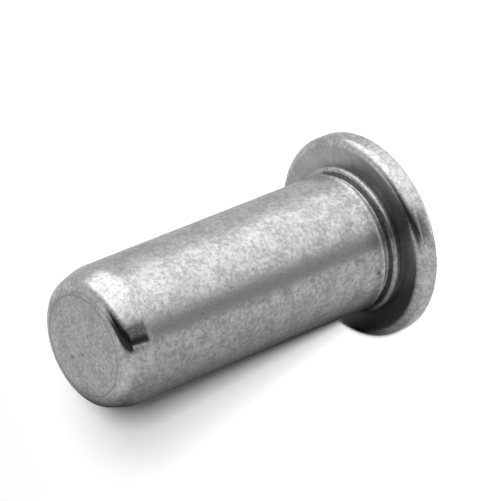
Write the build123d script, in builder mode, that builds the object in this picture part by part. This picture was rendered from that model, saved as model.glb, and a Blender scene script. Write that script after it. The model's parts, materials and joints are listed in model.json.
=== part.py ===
"""Closed-end blind rivet nut with a flat round head, for an M8 screw. Millimetres.

The nut is one cold-formed and turned piece of steel. It is drawn standing on its head:
the outer face of the head lies on Z = 0, the screw goes in there, and the closed end is up.
From the head up, the inside is a mouth chamfer, a thin-walled sleeve that folds into the
blind side's bulge when the nut is set, a conical shoulder, and the tapped bore with its
drill point. The bore is drawn at the thread's minor diameter.
"""
import os
from math import radians, tan

from build123d import *

# Overall sizes
overall_length = 28.3
shank_diameter = 11.0

# Round head: it seats on the sheet with its upper face
head_diameter = 16.2
head_thickness = 2.0
head_face_edge_radius = 0.5
head_seat_edge_radius = 0.7

# Collar under the head, which centres the nut in the sheet's hole, and the relief groove above it
collar_diameter = 11.8
collar_height = 0.7
relief_diameter = 10.2
relief_width = 0.6

# Closed end: a tapered lead-in and a rounded corner around a flat face
lead_in_length = 2.15
lead_in_angle = 17.0
end_corner_radius = 1.05

# Inside: the sleeve's depth is from the head's outer face, and the tapped bore stops short of
# the closed end by closed_end_length, which its drill point runs into
mouth_chamfer = 0.4
sleeve_bore_diameter = 9.0
sleeve_bore_depth = 11.5
shoulder_angle = 45.0
thread_minor_diameter = 6.65
closed_end_length = 4.0
drill_point_angle = 118.0

# Radii and heights that follow from the sizes above
shank_radius = shank_diameter / 2
head_radius = head_diameter / 2
collar_radius = collar_diameter / 2
relief_radius = relief_diameter / 2
sleeve_bore_radius = sleeve_bore_diameter / 2
tapped_bore_radius = thread_minor_diameter / 2

collar_top = head_thickness + collar_height
relief_top = collar_top + relief_width
lead_in_start = overall_length - lead_in_length
end_face_radius = shank_radius - lead_in_length * tan(radians(lead_in_angle))

mouth_radius = sleeve_bore_radius + mouth_chamfer
tapped_bore_depth = overall_length - closed_end_length
shoulder_length = (sleeve_bore_radius - tapped_bore_radius) / tan(radians(shoulder_angle))
drill_point_length = tapped_bore_radius / tan(radians(drill_point_angle / 2))


def ring_edge(body, radius, height):
    """The circular edges of a turned body that have this radius and lie at this height."""
    circles = body.edges().filter_by(GeomType.CIRCLE)
    return circles.filter_by(
        lambda edge: abs(edge.radius - radius) < 1e-4 and abs(edge.arc_center.Z - height) < 1e-4
    )


with BuildPart() as rivet_nut:
    # Half section from the mouth, round the outside to the closed end, and back down the bore
    with BuildSketch(Plane.XZ) as half_section:
        with BuildLine() as outline:
            Polyline(
                (mouth_radius, 0),
                (head_radius, 0),
                (head_radius, head_thickness),
                (collar_radius, head_thickness),
                (collar_radius, collar_top),
                (relief_radius, collar_top),
                (relief_radius, relief_top),
                (shank_radius, relief_top),
                (shank_radius, lead_in_start),
                (end_face_radius, overall_length),
                (0, overall_length),
                (0, tapped_bore_depth + drill_point_length),
                (tapped_bore_radius, tapped_bore_depth),
                (tapped_bore_radius, sleeve_bore_depth + shoulder_length),
                (sleeve_bore_radius, sleeve_bore_depth),
                (sleeve_bore_radius, mouth_chamfer),
                (mouth_radius, 0),
            )
        make_face()
    revolve(axis=Axis.Z)

    # Formed edges
    fillet(ring_edge(rivet_nut, head_radius, 0), head_face_edge_radius)
    fillet(ring_edge(rivet_nut, head_radius, head_thickness), head_seat_edge_radius)
    fillet(ring_edge(rivet_nut, end_face_radius, overall_length), end_corner_radius)

rivet_nut.part.label = "rivet_nut"

os.makedirs("parts", exist_ok=True)
export_step(rivet_nut.part, "parts/rivet_nut.step")
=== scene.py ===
# %% [markdown]
# # A closed-end blind rivet nut in plain steel
#
# A rivet nut gives a thin sheet a strong thread. It goes into a hole from one side, and a tool
# pulls its threaded part toward the head until the thin sleeve between them folds behind the
# sheet. This one is closed at its far end, which keeps dirt and water out.
#
# The real nut is formed and turned from one slug of steel, so it is one piece here too. It is
# made as a lathe would make it: an outline is spun about the axis, the edges are rounded
# afterwards, and a tap cuts the thread last.
#
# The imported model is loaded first, because it says where everything is and how large it is.
# A scene that takes its sizes from there can't drift away from the model.

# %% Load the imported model
import json
from math import cos, degrees, pi, radians, sin, tan

import bmesh
import bpy
from mathutils import Matrix, Quaternion, Vector

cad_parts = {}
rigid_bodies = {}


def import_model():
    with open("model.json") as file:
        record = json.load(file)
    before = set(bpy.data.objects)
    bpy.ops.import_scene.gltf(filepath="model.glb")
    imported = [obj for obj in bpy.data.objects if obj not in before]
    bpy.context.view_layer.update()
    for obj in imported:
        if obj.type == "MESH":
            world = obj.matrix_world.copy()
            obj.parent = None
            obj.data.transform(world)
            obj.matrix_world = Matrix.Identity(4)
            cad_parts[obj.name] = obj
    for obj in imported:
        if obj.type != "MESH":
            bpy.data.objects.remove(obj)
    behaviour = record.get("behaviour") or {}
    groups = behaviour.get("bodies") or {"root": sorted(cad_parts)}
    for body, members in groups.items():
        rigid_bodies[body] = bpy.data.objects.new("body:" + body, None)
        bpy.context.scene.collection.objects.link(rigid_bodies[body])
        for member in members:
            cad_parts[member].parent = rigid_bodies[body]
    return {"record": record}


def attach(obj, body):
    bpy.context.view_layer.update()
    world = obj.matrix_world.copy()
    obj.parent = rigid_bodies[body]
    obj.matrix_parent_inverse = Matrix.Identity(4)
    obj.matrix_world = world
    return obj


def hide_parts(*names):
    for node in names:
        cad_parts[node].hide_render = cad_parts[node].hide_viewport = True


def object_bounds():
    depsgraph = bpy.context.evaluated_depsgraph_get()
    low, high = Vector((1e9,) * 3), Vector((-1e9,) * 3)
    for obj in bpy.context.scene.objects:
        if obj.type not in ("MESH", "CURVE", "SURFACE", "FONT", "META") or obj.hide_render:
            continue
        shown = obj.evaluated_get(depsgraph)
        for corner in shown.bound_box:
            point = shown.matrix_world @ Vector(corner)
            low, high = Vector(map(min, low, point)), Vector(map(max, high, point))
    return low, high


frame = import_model()
cad_low, cad_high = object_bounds()
mounts = {mount["name"]: mount for mount in frame["record"]["mounts"]}
MM = 0.001
print("the nut's box in mm:", [round(size / MM, 2) for size in cad_high - cad_low])

# %% [markdown]
# ## The outside's sizes
#
# The nut stands on its head: Z runs up its axis, from the head's outer face to the closed end.
# From the head upward come the seat that rests on the sheet, a low collar, a narrow relief
# groove, the shank, and a tapered lead-in that helps the nut into its hole.
#
# Sizes could be typed in again, but two copies of one size soon differ. The box and the mounts
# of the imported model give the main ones: the shank's mount starts where the groove ends and
# stops where the lead-in starts. Only what no mount names is written here.

# %% Measure the outside
def run(name):
    """How far a mount runs along the axis."""
    return mounts[name]["dims"]["length_mm"] * MM


def bore(name):
    """The radius that a mount states."""
    return mounts[name]["dims"]["r_mm"] * MM


length = cad_high.z
head_radius = cad_high.x
head_thickness = mounts["sheet_seat"]["pos_m"][2]
shank_radius = bore("shank")
relief_top = mounts["shank"]["pos_m"][2] - run("shank") / 2
lead_in_start = relief_top + run("shank")

collar_radius = 5.9 * MM
collar_top = head_thickness + 0.6 * MM
relief_radius = 5.15 * MM
lead_in_angle = radians(17)
end_face_radius = shank_radius - (length - lead_in_start) * tan(lead_in_angle)
print("shank from", round(relief_top / MM, 2), "to", round(lead_in_start / MM, 2), "mm up")
print("end face before rounding:", round(2 * end_face_radius / MM, 2), "mm across")

# %% [markdown]
# ## The bore's sizes
#
# A screw enters through a chamfered mouth and a plain sleeve, which is wider than the thread
# because it has to fold. A 45 degree shoulder leads down to the bore that is tapped, and the
# drill leaves its own cone at the bottom. The closed end's wall is what remains behind it.

# %% Measure the bore
mouth_chamfer = 0.4 * MM
sleeve_radius = bore("screw_clearance")
sleeve_depth = mouth_chamfer + run("screw_clearance")
minor_radius = bore("thread")
thread_start = sleeve_depth + sleeve_radius - minor_radius
bore_depth = thread_start + run("thread")
drill_point_angle = radians(118)
drill_tip = bore_depth + minor_radius / tan(drill_point_angle / 2)
print("bore", round(bore_depth / MM, 2), "mm deep, and", round(drill_tip / MM, 2), "at its tip")
print("end wall behind the drill point:", round((length - drill_tip) / MM, 2), "mm")

# %% [markdown]
# ## The lathe
#
# Everything but the thread is round, so one outline holds the whole shape. A Screw modifier
# could spin it, but the edges still have to be rounded one by one, and that needs a mesh to
# work on. `bmesh.ops.spin` gives one at once, as a closed shell.
#
# A ring edge can be found again by its radius and its height, which is all that a bevel needs
# to round it. Rounding after spinning keeps the outline down to the points that shape it.

# %% Spin an outline, find a ring, round it
sharp_angle = radians(40)


def lathe(outline, steps):
    """A bmesh made by spinning (radius, height) points about Z."""
    made = bmesh.new()
    points = [made.verts.new((radius, 0, height)) for radius, height in outline]
    edges = [made.edges.new(pair) for pair in zip(points, points[1:])]
    bmesh.ops.spin(
        made, geom=points + edges, cent=(0, 0, 0), axis=(0, 0, 1), dvec=(0, 0, 0),
        angle=2 * pi, steps=steps, use_merge=True, use_duplicate=False,
    )
    bmesh.ops.remove_doubles(made, verts=made.verts, dist=1e-7)
    bmesh.ops.recalc_face_normals(made, faces=made.faces)
    return made


def round_ring(made, radius, height, reach, segments):
    """Rounds a ring edge; reach is how far the rounding runs back along each side."""
    def on_ring(vert):
        return abs(vert.co.xy.length - radius) < 1e-6 and abs(vert.co.z - height) < 1e-6

    edges = [edge for edge in made.edges if all(on_ring(vert) for vert in edge.verts)]
    bmesh.ops.bevel(
        made, geom=edges, offset=reach, offset_type="OFFSET", segments=segments,
        profile=0.5, affect="EDGES", material=-1, clamp_overlap=True,
    )
    return len(edges)


def finish_mesh(made, name):
    """Turns a bmesh into an object, shaded smooth but for its sharp edges."""
    mesh = bpy.data.meshes.new(name)
    made.to_mesh(mesh)
    made.free()
    mesh.shade_smooth()
    mesh.set_sharp_from_angle(angle=sharp_angle)
    piece = bpy.data.objects.new(name, mesh)
    bpy.context.scene.collection.objects.link(piece)
    return piece


print("lathe ready; edges past", round(degrees(sharp_angle)), "degrees stay sharp")

# %% [markdown]
# ## The body
#
# Forming squeezes the steel against its dies, which leaves the head with soft rolled edges and
# the closed end with a rounded corner. Above the groove the shank's foot swells a little before
# it runs straight, as metal does where it has been pressed aside.
#
# The outline starts at the drill's tip, comes down the bore, goes round the head and climbs up
# the outside to the closed end's middle. It is spun in enough steps for the silhouette to stay
# round close up, and each edge gets the rounding that its own tool would leave.

# %% Turn the body
steps_round = 256
foot_radius = shank_radius + 0.07 * MM
swell_end = relief_top + 0.6 * MM
outline = [
    (0, drill_tip),
    (minor_radius, bore_depth),
    (minor_radius, thread_start),
    (sleeve_radius, sleeve_depth),
    (sleeve_radius, mouth_chamfer),
    (sleeve_radius + mouth_chamfer, 0),
    (head_radius, 0),
    (head_radius, head_thickness),
    (collar_radius, head_thickness),
    (collar_radius, collar_top),
    (relief_radius, collar_top),
    (relief_radius, relief_top),
    (foot_radius, relief_top),
    (shank_radius + 0.02 * MM, relief_top + 0.25 * MM),
    (shank_radius, swell_end),
    (shank_radius, lead_in_start),
    (end_face_radius, length),
    (0, length),
]
body = lathe(outline, steps_round)
print("spun", len(outline), "points in", steps_round, "steps")

# %% Round its edges
end_corner = 1.05 * MM
end_reach = end_corner * tan(pi / 4 - lead_in_angle / 2)
rings = [
    ("head's face", head_radius, 0, 0.5 * MM, 8),
    ("head's seat", head_radius, head_thickness, 0.7 * MM, 12),
    ("collar's edge", collar_radius, collar_top, 0.35 * MM, 8),
    ("groove's corner", relief_radius, collar_top, 0.12 * MM, 4),
    ("end of the swell", shank_radius, swell_end, 0.3 * MM, 6),
    ("start of the lead-in", shank_radius, lead_in_start, 0.35 * MM, 6),
    ("closed end's corner", end_face_radius, length, end_reach, 14),
]
for name, radius, height, reach, segments in rings:
    edges = round_ring(body, radius, height, reach, segments)
    print("rounded the", name, "at", round(height / MM, 2), "mm:", edges, "edges")

nut = finish_mesh(body, "rivet_nut_body")
print("body:", len(nut.data.polygons), "faces")

# %% [markdown]
# ## The thread
#
# A tap leaves a groove that climbs one pitch a turn: 1.25 mm for M8. It could be a texture, but
# a look into the mouth shows the thread from the side, where only real turns hold up.
#
# The groove's section is spun along that helix as one closed ridge, and an exact Boolean takes
# the ridge out of the bore's wall, as the tap does. The ridge has a flat of an eighth of the
# pitch at its tip, and its foot starts a little inside the bore, so that no two faces coincide.
# Its flanks open to about 65 degrees, a little more than a metric thread's 60, which leaves a
# narrow crest between the turns. It stops short of the bottom, where a real tap can't cut.

# %% Shape the tap
pitch = 1.25 * MM
major_radius = 4.0 * MM
ridge_inner = minor_radius - 0.06 * MM
half_root = 0.44 * pitch
half_tip = pitch / 16
steps_a_turn = 64


def tap_ridge(low, turns):
    """A closed helical ridge that climbs from low upward."""
    section = [
        (ridge_inner, -half_root),
        (major_radius, -half_tip),
        (major_radius, half_tip),
        (ridge_inner, half_root),
    ]
    ridge = bmesh.new()
    points = [ridge.verts.new((radius, 0, low + rise)) for radius, rise in section]
    start = ridge.faces.new(points)
    bmesh.ops.spin(
        ridge, geom=[start, *start.edges, *points], cent=(0, 0, 0), axis=(0, 0, 1),
        dvec=(0, 0, pitch / steps_a_turn), angle=2 * pi * turns,
        steps=round(turns * steps_a_turn), use_merge=False, use_duplicate=False,
    )
    bmesh.ops.remove_doubles(ridge, verts=ridge.verts, dist=1e-7)
    bmesh.ops.recalc_face_normals(ridge, faces=ridge.faces)
    return ridge


uncut = 1.2 * pitch
turns = (bore_depth - uncut - thread_start) / pitch
tap = finish_mesh(tap_ridge(thread_start, turns), "tap")
print("tap:", round(turns, 1), "turns,", len(tap.data.polygons), "faces")

# %% Cut the thread with it
cut = nut.modifiers.new("thread", "BOOLEAN")
cut.operation = "DIFFERENCE"
cut.solver = "EXACT"
cut.object = tap
bpy.context.view_layer.update()
cut_nut = nut.evaluated_get(bpy.context.evaluated_depsgraph_get())
tapped = bpy.data.meshes.new_from_object(cut_nut)
nut.modifiers.clear()
nut.data = tapped
nut.data.set_sharp_from_angle(angle=sharp_angle)
bpy.data.objects.remove(tap)
print("tapped; the nut has", len(nut.data.polygons), "faces")

# %% [markdown]
# ## The nut's place in the model
#
# The nut rides on the model's only body, takes the place of its only node, and wears its steel.

# %% Tie the nut to the model
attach(nut, "root")
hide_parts("rivet_nut")
print(nut.name, "stands in for rivet_nut")

# %% [markdown]
# ## Shader helpers
#
# A finish is a graph of small nodes. Placed and wired one at a time, it soon takes more lines
# than it is worth, and nobody can read it. Here it reads as a formula instead: `Graph` adds a
# node, fills its sockets with numbers, colours or other sockets, and gives back one output.
# Almost all of this scene is said with `fade`, a smooth step, and `mix`, a blend of two values.

# %% A small language for node graphs
class Graph:
    """Writes node graphs as formulas."""

    def __init__(self, tree):
        self.tree = tree

    def add(self, kind, *values, out=0, **settings):
        """Adds a node; values go to its sockets in order, and None leaves one as it is."""
        made = self.tree.nodes.new(kind)
        for name, value in settings.items():
            setattr(made, name, value)
        for socket, value in zip(made.inputs, values):
            self.fill(socket, value)
        return made.outputs[out]

    def fill(self, socket, value):
        """Links an output to a socket, or writes a plain value into it."""
        if isinstance(value, bpy.types.NodeSocket):
            self.tree.links.new(value, socket)
        elif value is not None:
            socket.default_value = value

    def math(self, operation, *values):
        return self.add("ShaderNodeMath", *values, operation=operation)

    def vector(self, operation, *values):
        return self.add("ShaderNodeVectorMath", *values, operation=operation)

    def measure(self, operation, *values):
        """A vector sum whose answer is one number, such as a length."""
        return self.add("ShaderNodeVectorMath", *values, operation=operation, out="Value")

    def times(self, product, *factors):
        for factor in factors:
            product = self.math("MULTIPLY", product, factor)
        return product

    def fade(self, value, start, stop, low=0.0, high=1.0):
        """Runs smoothly from low to high while the value goes from start to stop."""
        if start > stop:
            start, stop, low, high = stop, start, high, low
        return self.add(
            "ShaderNodeMapRange", value, start, stop, low, high, interpolation_type="SMOOTHSTEP"
        )

    def mix(self, share, low, high):
        """Low where the share is 0, high where it is 1."""
        return self.math("MULTIPLY_ADD", share, self.math("SUBTRACT", high, low), low)

    def noise(self, where, scale, detail, roughness=0.5):
        return self.add(
            "ShaderNodeTexNoise", where, None, scale, detail, roughness, noise_dimensions="3D"
        )

    def white_glow(self, strength):
        return self.add("ShaderNodeEmission", (1, 1, 1, 1), strength)


def new_material(name):
    """A material with nothing in it but its output, and the graph to fill it."""
    material = bpy.data.materials.new(name)
    material.use_nodes = True
    tree = material.node_tree
    tree.nodes.clear()
    output = tree.nodes.new("ShaderNodeOutputMaterial")
    return material, Graph(tree), output.inputs["Surface"]


print("graph helpers ready")

# %% [markdown]
# ## Steel: the parts of the surface
#
# The nuts are tumbled in a drum after they are formed. That dulls the shank in a fine mottle
# and slides over the rolled edges, which stay smoother. The pocket under the head is painted
# darker here as its shade, and one side of the seat is painted lighter as the light that falls
# there. So one steel needs several finishes.
#
# They could be several materials on painted faces, but then each border would be a hard line.
# Here one material asks where a point lies, by its height and its distance from the axis, and
# lets each finish fade into the next. Object coordinates keep all of it in real sizes.

# %% Start the steel, and mark off the parts of its surface
steel, graph, surface = new_material("tumbled_steel")
where = graph.add("ShaderNodeTexCoord", out="Object")
split = graph.add("ShaderNodeSeparateXYZ", where).node.outputs
side = split["X"]
height = split["Z"]
radius = graph.measure("LENGTH", graph.vector("MULTIPLY", where, (1, 1, 0)))

on_shank = graph.times(
    graph.fade(height, relief_top, relief_top + 0.3 * MM),
    graph.fade(height, lead_in_start + 0.2 * MM, lead_in_start - 0.2 * MM),
)
on_face = graph.times(
    graph.fade(height, length - 0.08 * MM, length - 0.03 * MM),
    graph.fade(radius, 4.4 * MM, 4.2 * MM),
)
on_seat = graph.times(
    graph.fade(height, head_thickness + 0.06 * MM, head_thickness + 0.02 * MM),
    graph.fade(height, head_thickness - 0.06 * MM, head_thickness - 0.02 * MM),
    graph.fade(radius, 7.6 * MM, 7.4 * MM),
)
in_neck = graph.times(
    graph.fade(radius, 6.2 * MM, 6.1 * MM),
    graph.fade(height, relief_top + 0.1 * MM, relief_top),
)
print("parts of the surface marked with", len(graph.tree.nodes), "nodes")

# %% [markdown]
# ## Steel: the tumbled grain
#
# Close up, the shank is a crowd of small bright and dull spots, with dark specks among them.
# An image could show them, but it would need unwrapping and would blur close up. Three noises
# do the same at any distance: wide blotches, a fine mottle and rare specks. A noise's scale is
# how many of its waves fit in a metre, so 2900 makes spots of about a third of a millimetre.

# %% Grain and specks
blotch_scale = 700
mottle_scale = 2900
speck_scale = 5600
blotch = graph.noise(where, blotch_scale, detail=2)
mottle = graph.noise(where, mottle_scale, detail=4, roughness=0.7)
speck = graph.noise(where, speck_scale, detail=1)
grain = graph.math("ADD", graph.times(blotch, 0.3), graph.times(mottle, 0.7))
grain = graph.fade(grain, 0.35, 0.65)
print("spots of about", round(1 / mottle_scale / MM, 2), "mm")

# %% [markdown]
# ## Steel: how light it is
#
# Steel reflects a bit more than half of the light, and a tumbled surface varies about that.
# The grain runs between a dull and a bright tone, and each part of the surface then shifts it:
# the formed edges are a little lighter, and the neck is a little darker as painted shade. The
# seat is painted darker as the shade under the head, darkest in the corner round the collar,
# and its side toward +X is painted lighter as the light that falls there.

# %% The tone of shank, edges and neck
dull_tone = 0.405
bright_tone = 0.725
edge_lift = 1.1
speck_tone = 0.34
painted_neck_shade = 0.86
tone = graph.mix(grain, dull_tone, bright_tone)
tone = graph.times(tone, graph.mix(on_shank, edge_lift, 1.0))
tone = graph.mix(graph.fade(speck, 0.64, 0.74), tone, speck_tone)
# Painted shade: the groove and collar under the head are darkened in colour for the shade in
# that recess.
tone = graph.times(tone, graph.mix(in_neck, 1.0, painted_neck_shade))

print("steel from", dull_tone, "to", bright_tone, "with specks at", speck_tone)

# %% The seat's painted shade, and painted light on one side
painted_seat_shade = 0.33
painted_seat_light = 0.52
painted_corner_shade = 0.2
painted_corner_light = 0.45
seat_grain = 0.14
# Painted shade and painted light: the seat is darkened for the shade under the head, most in the
# corner round the collar, and lightened on its side toward +X for the light there.
painted_lit_side = graph.fade(side, 4.0 * MM, 6.0 * MM)
in_corner = graph.fade(radius, 6.5 * MM, 6.0 * MM)
open_seat = graph.mix(painted_lit_side, painted_seat_shade, painted_seat_light)
seat_corner = graph.mix(painted_lit_side, painted_corner_shade, painted_corner_light)
seat_tone = graph.mix(in_corner, open_seat, seat_corner)
seat_tone = graph.times(seat_tone, graph.mix(grain, 1 - seat_grain, 1 + seat_grain))
tone = graph.mix(on_seat, tone, seat_tone)
print("seat from", painted_corner_shade, "in its corner to", painted_seat_light, "where it is rubbed")

# %% [markdown]
# ## Steel: the marks
#
# The tool that shapes the closed end leaves a fine ring on its face, not quite centred, and a
# few dark dots. A small nick, a dent, sits on the shank beside the groove. Marks could be cut
# into the mesh, but these are too shallow to change the shape. So each is a dark patch in the
# tone, and for the nick that patch is painted shade of the dent. The graph asks how far a point
# lies from the mark and lets it fade out over its last bit.

# %% Ring and dots on the end face
def spot(centre, size):
    """A round patch: 1 at the centre, and 0 from size outward."""
    return graph.fade(graph.measure("DISTANCE", where, centre), size, 0.4 * size)


face_dull = 0.41
face_bright = 0.68
face_speck = 0.38
face_tone = graph.mix(grain, face_dull, face_bright)
face_tone = graph.mix(graph.fade(speck, 0.60, 0.70), face_tone, face_speck)

ring_centre = (0, 0.15 * MM, length)
ring_radius = 3.95 * MM
ring_tone = 0.36
from_centre = graph.measure("DISTANCE", where, ring_centre)
from_ring = graph.math("ABSOLUTE", graph.math("SUBTRACT", from_centre, ring_radius))
face_tone = graph.mix(graph.fade(from_ring, 0.10 * MM, 0.02 * MM), face_tone, ring_tone)

# Each dot is given by its place on the face and its radius, in mm.
dots = [(-0.44, 2.05, 0.24), (-0.6, 0.67, 0.2), (-2.2, -0.6, 0.13), (1.1, 1.6, 0.13)]
dot_tone = 0.3
for x, y, size in dots:
    face_tone = graph.mix(spot((x * MM, y * MM, length), size * MM), face_tone, dot_tone)
tone = graph.mix(on_face, tone, face_tone)
print("end face: one ring and", len(dots), "dots")

# %% The nick on the shank
nick_turn = radians(53)
nick_height = 3.9 * MM
nick_size = 0.28 * MM
painted_nick_shade = 0.2
nick = (-cos(nick_turn) * shank_radius, -sin(nick_turn) * shank_radius, nick_height)
# Painted shade: the nick's dent is not in the mesh, so its shade is a dark patch in the colour.
tone = graph.mix(spot(nick, nick_size), tone, painted_nick_shade)
print("a nick", round(nick_height / MM, 1), "mm above the head's face")

# %% [markdown]
# ## Steel: how smooth it is
#
# Roughness says how far a mirrored edge is smeared. Where the grain is bright the metal is
# smoother, so both follow the same noise. The rolled edges are the smoothest, most of all at
# the closed end. The noise also lifts the surface by a few thousandths of a millimetre, through
# a Bump node: real dents that small would cost millions of faces and look the same.

# %% Roughness
head_roughness = 0.20
end_roughness = 0.13
neck_roughness = 0.32
dull_roughness = 0.36
bright_roughness = 0.23
face_roughness = 0.30
seat_roughness = 0.34
toward_end = graph.fade(height, length / 3, length / 2)
shank_roughness = graph.mix(grain, dull_roughness, bright_roughness)
roughness = graph.mix(toward_end, head_roughness, end_roughness)
roughness = graph.mix(in_neck, roughness, neck_roughness)
roughness = graph.mix(on_shank, roughness, shank_roughness)
roughness = graph.mix(on_face, roughness, face_roughness)
roughness = graph.mix(on_seat, roughness, seat_roughness)
print("roughness from", end_roughness, "to", dull_roughness)

# %% Fine relief
relief_depth = 0.008 * MM
relief_off_shank = 0.25
relief = graph.math("ADD", graph.times(mottle, 0.6), blotch)
relief_share = graph.mix(on_shank, relief_off_shank, 1.0)
relief_normal = graph.add("ShaderNodeBump", relief_share, relief_depth, None, relief)
print("relief of", round(relief_depth / MM, 3), "mm on the shank")

# %% [markdown]
# ## Steel: the finished material
#
# Paint has a colour of its own under a clear shine. Bare metal has only the shine, tinted by
# the metal. A Principled node with Metallic at 1 does that, and its Base Color is then the
# share of light that is mirrored. Steel mirrors a trace less blue, hence the last channel.

# %% Put the steel together
blue_share = 0.99
colour = graph.add("ShaderNodeCombineColor", tone, tone, graph.times(tone, blue_share))
shader = graph.add("ShaderNodeBsdfPrincipled").node
graph.fill(shader.inputs["Base Color"], colour)
graph.fill(shader.inputs["Metallic"], 1.0)
graph.fill(shader.inputs["Roughness"], roughness)
graph.fill(shader.inputs["Normal"], relief_normal)
graph.fill(surface, shader.outputs["BSDF"])

nut.data.materials.clear()
nut.data.materials.append(steel)
print("steel finished with", len(graph.tree.nodes), "nodes")

# %% [markdown]
# ## The room that the metal mirrors: its axes
#
# Bare metal has little look of its own: it shows what stands round it. The light bands along a
# shank are the walls and lamps of a light tent, bent round it. The nut stands on its head here,
# but it is shown as if it lay on a table on its side, so the tent has to be turned with it.
#
# The room gets its own three axes: up from that table, level toward the camera, and to the
# side. They are worked out from two directions only, so that they always stay square.

# %% Turn the room with the table
table_up = Vector((0.878, -0.468, -0.104)).normalized()
view_height = radians(35.62)
to_camera = Vector((0, -cos(view_height), sin(view_height)))
room_front = (to_camera - to_camera.dot(table_up) * table_up).normalized()
room_side = table_up.cross(room_front)
room = Matrix((room_front, room_side, table_up)).transposed().to_quaternion()
camera_climb = radians(90) - to_camera.angle(table_up)
print("the camera looks down on that table by", round(degrees(camera_climb), 1), "degrees")

# %% [markdown]
# ## The room that the metal mirrors: the cards
#
# Boards and lamps could stand in the scene, but each would also light the floor and throw its
# own shadow. An image of a room would hide what does what. So a dome carries the room as a list
# of cards, and only mirrored rays can see it: the metal and the floor are lit apart, and each
# card can be moved or dimmed alone.
#
# A card spans some degrees to both sides of its azimuth, which is 0 toward the camera, and lies
# between two elevations. Its edge is how softly it ends. Later cards lie over earlier ones, and
# the grey wall shows where there is none. Places and brightness were first fitted to the light
# bands on a real nut's shank, lead-in and head, then rounded and adjusted.

# %% The cards
wall_glow = 0.61
cards = {
    "tent_roof": {"azimuth": 0, "half": 180, "low": 46, "high": 95, "edge": 11, "glow": 1.47},
    "right_wall": {"azimuth": 118, "half": 51, "low": -30, "high": 57, "edge": 17, "glow": 1.02},
    "dark_front": {"azimuth": 14, "half": 70, "low": -20, "high": 26, "edge": 12, "glow": 0.015},
    "front_haze": {"azimuth": 37, "half": 11, "low": 11, "high": 30, "edge": 5, "glow": 0.18},
    "gap_light": {"azimuth": 59, "half": 6, "low": -20, "high": 51, "edge": 11, "glow": 0.70},
    "left_lamp": {"azimuth": -63, "half": 39, "low": 57, "high": 75, "edge": 11, "glow": 1.66},
    "roof_seam": {"azimuth": 31, "half": 33, "low": 41, "high": 67, "edge": 10, "glow": 0.96},
    "back_flap": {"azimuth": 183, "half": 14, "low": 35, "high": 60, "edge": 9, "glow": 0.72},
}
print(len(cards), "cards over a wall at", wall_glow)

# %% Lay the cards over the wall
def card_share(graph, card, elevation, level):
    """How much of a card covers a direction: 1 inside it, 0 outside, soft at its edge."""
    edge = radians(card["edge"])
    low = radians(card["low"])
    high = radians(card["high"])
    share = graph.times(
        graph.fade(elevation, low - edge, low + edge),
        graph.fade(elevation, high + edge, high - edge),
    )
    if card["half"] < 180:
        facing = radians(card["azimuth"])
        half = radians(card["half"])
        along = graph.measure("DOT_PRODUCT", level, (cos(facing), sin(facing), 0))
        aside = graph.math("ARCCOSINE", along)
        share = graph.times(share, graph.fade(aside, half + edge, half - edge))
    return share


def room_material():
    """The grey wall with every card laid over it."""
    material, graph, surface = new_material("room")
    where = graph.vector("NORMALIZE", graph.add("ShaderNodeTexCoord", out="Object"))
    elevation = graph.math("ARCSINE", graph.add("ShaderNodeSeparateXYZ", where, out="Z"))
    level = graph.vector("NORMALIZE", graph.vector("MULTIPLY", where, (1, 1, 0)))
    glow = wall_glow
    for card in cards.values():
        glow = graph.mix(card_share(graph, card, elevation, level), glow, card["glow"])
    graph.fill(surface, graph.white_glow(glow))
    return material


room_look = room_material()
print("room drawn with", len(room_look.node_tree.nodes), "nodes")

# %% Hang them on a dome
def mirrored_only(piece):
    """Leaves a piece of the stage to mirrored rays alone."""
    for ray in ("camera", "diffuse", "transmission", "volume_scatter", "shadow"):
        setattr(piece, "visible_" + ray, False)


dome_radius = 1.0
sphere = bmesh.new()
bmesh.ops.create_uvsphere(sphere, u_segments=48, v_segments=24, radius=dome_radius)
dome = finish_mesh(sphere, "room_dome")
dome.rotation_mode = "QUATERNION"
dome.rotation_quaternion = room
dome.data.materials.append(room_look)
mirrored_only(dome)
print("a dome of", dome_radius, "m hung round the nut")

# %% [markdown]
# ## The table that the metal mirrors
#
# The lower side of a lying nut mirrors the table, with the nut's own shadow darkening it where
# the two nearly touch. The standing nut has no table at its side, so it gets one that only
# mirrored rays can see, just under the lowest point of its head's rim.
#
# A second, tilted render could catch that shadow, but a formula is enough. Beside a long round
# bar that lies at x = 0, the share of open sky grows like x squared over x squared plus the
# bar's radius squared. That shadow fades out round both ends of the nut. Toward the camera the
# table comes to its edge a few centimetres away, and past it everything is dark.

# %% Find the table's axes
axis = Vector((0, 0, 1))
middle = axis * length / 2
table_along = (axis - axis.dot(table_up) * table_up).normalized()
table_across = table_along.cross(table_up)
edge_turn = radians(-18)
edge_facing = cos(edge_turn) * room_front + sin(edge_turn) * room_side
table_front = (edge_facing.dot(table_across), edge_facing.dot(table_along), 0)
lean = axis.angle(table_along)
print("the nut's axis leans", round(degrees(lean), 1), "degrees to the table")

# %% The table's look, with the contact shadow
table_glow = 0.61
past_edge_glow = 0.04


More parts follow.
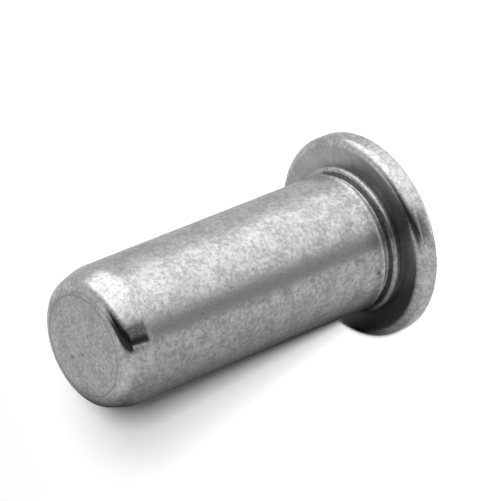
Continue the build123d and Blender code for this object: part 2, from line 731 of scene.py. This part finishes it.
def table_material():
    """Light grey, darker beside the nut, and dark past the table's edge."""
    material, graph, surface = new_material("mirrored_table")
    where = graph.add("ShaderNodeTexCoord", out="Object")
    split = graph.add("ShaderNodeSeparateXYZ", where).node.outputs
    across = split["X"]
    along = split["Y"]

    square = graph.times(across, across)
    open_sky = graph.math("DIVIDE", square, graph.math("ADD", square, shank_radius ** 2))
    beside_nut = graph.times(
        graph.fade(along, -18 * MM, -13 * MM),
        graph.fade(along, 17 * MM, 12 * MM),
    )
    glow = graph.times(graph.mix(beside_nut, 1.0, open_sky), table_glow)

    reach = graph.measure("DOT_PRODUCT", where, table_front)
    ahead = graph.math("DIVIDE", reach, graph.measure("LENGTH", where))
    past_edge = graph.times(
        graph.fade(reach, 24 * MM, 42 * MM),
        graph.fade(ahead, 0.55, 0.8),
    )
    glow = graph.mix(past_edge, glow, past_edge_glow)
    graph.fill(surface, graph.white_glow(glow))
    return material


table_look = table_material()
print("table drawn with", len(table_look.node_tree.nodes), "nodes")

# %% Lay the table down
table_offset = -8.2 * MM
table_radius = 0.5


def disc(name, radius):
    """A flat round plate about the origin, facing up."""
    made = bmesh.new()
    bmesh.ops.create_circle(made, cap_ends=True, radius=radius, segments=64)
    return finish_mesh(made, name)


table = disc("mirrored_table", table_radius)
table_middle = middle + (table_offset - middle.dot(table_up)) * table_up
table_turn = Matrix((table_across, table_along, table_up)).transposed().to_4x4()
table.matrix_world = Matrix.Translation(table_middle) @ table_turn
table.data.materials.append(table_look)
mirrored_only(table)
print("table", round(-table_offset / MM, 1), "mm below the origin along its own up")

# %% [markdown]
# ## The white floor and the world
#
# The nut stands on a white surface that runs on without an edge. More light would burn it to
# white, but the same light would burn the nut. So the paint stays a plain white that takes the
# nut's shadow, and a glow that only some rays see lifts the floor toward 1, faintly by the nut
# and fully farther out. The world does the same behind it, so that low views end in white.
#
# Those rays come from the camera, or are mirrored by metal or let through by glass, which would
# show the background too. The nut's mirrored rays meet the room and its table first, and the
# floor is hidden from them, so they count only in a scene without that room.

# %% The rays that show the background
def background_rays(graph):
    """One for rays that show the background: seen, mirrored or let through."""
    rays = graph.add("ShaderNodeLightPath").node.outputs
    seen = graph.math("MAXIMUM", rays["Is Camera Ray"], rays["Is Glossy Ray"])
    return graph.math("MAXIMUM", seen, rays["Is Transmission Ray"])


print("background rays: seen, mirrored or let through")

# %% Floor
paint_white = 0.93
near = 60 * MM
far = 250 * MM
near_lift = 0.03


def floor_material():
    """White paint, plus a glow that grows with the distance from the nut."""
    material, graph, surface = new_material("white_floor")
    paint = graph.add("ShaderNodeBsdfDiffuse", (paint_white, paint_white, paint_white, 1))
    away = graph.measure("LENGTH", graph.add("ShaderNodeTexCoord", out="Object"))
    lift = graph.fade(away, near, far, low=near_lift, high=1.0)
    glow = graph.white_glow(graph.times(background_rays(graph), lift))
    graph.fill(surface, graph.add("ShaderNodeAddShader", paint, glow))
    return material


floor_radius = 1.5
floor = disc("floor", floor_radius)
floor.data.materials.append(floor_material())
floor.visible_glossy = False
print("white floor", 2 * floor_radius, "m across")

# %% World
world_fill = 0.06
world = bpy.data.worlds.new("studio")
bpy.context.scene.world = world
world.use_nodes = True
sky = Graph(world.node_tree)
backdrop = world.node_tree.nodes["Background"]
sky.fill(backdrop.inputs["Color"], (1, 1, 1, 1))
sky.fill(backdrop.inputs["Strength"], sky.mix(background_rays(sky), world_fill, 1.0))
print("world white to those rays, and", world_fill, "to all others")

# %% [markdown]
# ## The lamps
#
# Two small square lamps stand close together near the camera, a few degrees to one side. A lamp
# right at the camera would hide the nut's shadow behind it; these let a narrow band of it show
# along the shank. Two sizes give it a firm core and a softer rim. The metal doesn't mirror
# them, because the room's cards already say what it mirrors.

# %% Two lamps near the camera
def soft_lamp(name, azimuth, elevation, size, watts):
    """A square lamp a metre from the nut's middle; azimuth 0 is the camera's side."""
    distance = 1.0
    data = bpy.data.lights.new(name, "AREA")
    data.shape = "SQUARE"
    data.size = size
    data.energy = watts
    lamp = bpy.data.objects.new(name, data)
    bpy.context.scene.collection.objects.link(lamp)
    turn = radians(azimuth)
    climb = radians(elevation)
    back = Vector((sin(turn) * cos(climb), -cos(turn) * cos(climb), sin(climb)))
    lamp.location = middle + back * distance
    lamp.rotation_mode = "QUATERNION"
    lamp.rotation_quaternion = (-back).to_track_quat("-Z", "Y")
    lamp.visible_glossy = False
    print("lamp", name, "with", watts, "W")


soft_lamp("key", azimuth=3.3, elevation=34.8, size=0.048, watts=11.8)
soft_lamp("side_key", azimuth=8.0, elevation=33.8, size=0.09, watts=7.9)

# %% [markdown]
# ## The camera
#
# Small parts are shown from a little way off with a long lens, so that near and far ends look
# almost the same size. The nut should seem to lie on its side with its closed end toward us.
# It could be laid down, but then it would no longer share the model's frame. So the nut stays
# upright and the camera turns about its own line of sight instead.

# %% A long lens, turned about its own axis
camera_distance = 311.08 * MM
camera_roll = radians(111.894)
aim = Vector((1.942, -1.432, 12.151)) * MM

camera_data = bpy.data.cameras.new("camera")
camera_data.sensor_width = 36
camera_data.lens = 295.55
camera_data.clip_start = 0.01
camera_data.clip_end = 10
camera = bpy.data.objects.new("camera", camera_data)
bpy.context.scene.collection.objects.link(camera)
bpy.context.scene.camera = camera
camera.location = aim + to_camera * camera_distance
camera.rotation_mode = "QUATERNION"
upright = (-to_camera).to_track_quat("-Z", "Y")
camera.rotation_quaternion = Quaternion(-to_camera, camera_roll) @ upright
bpy.context.scene.view_settings.view_transform = "Standard"
print("camera", round(camera_distance / MM), "mm away, lens", round(camera_data.lens), "mm")
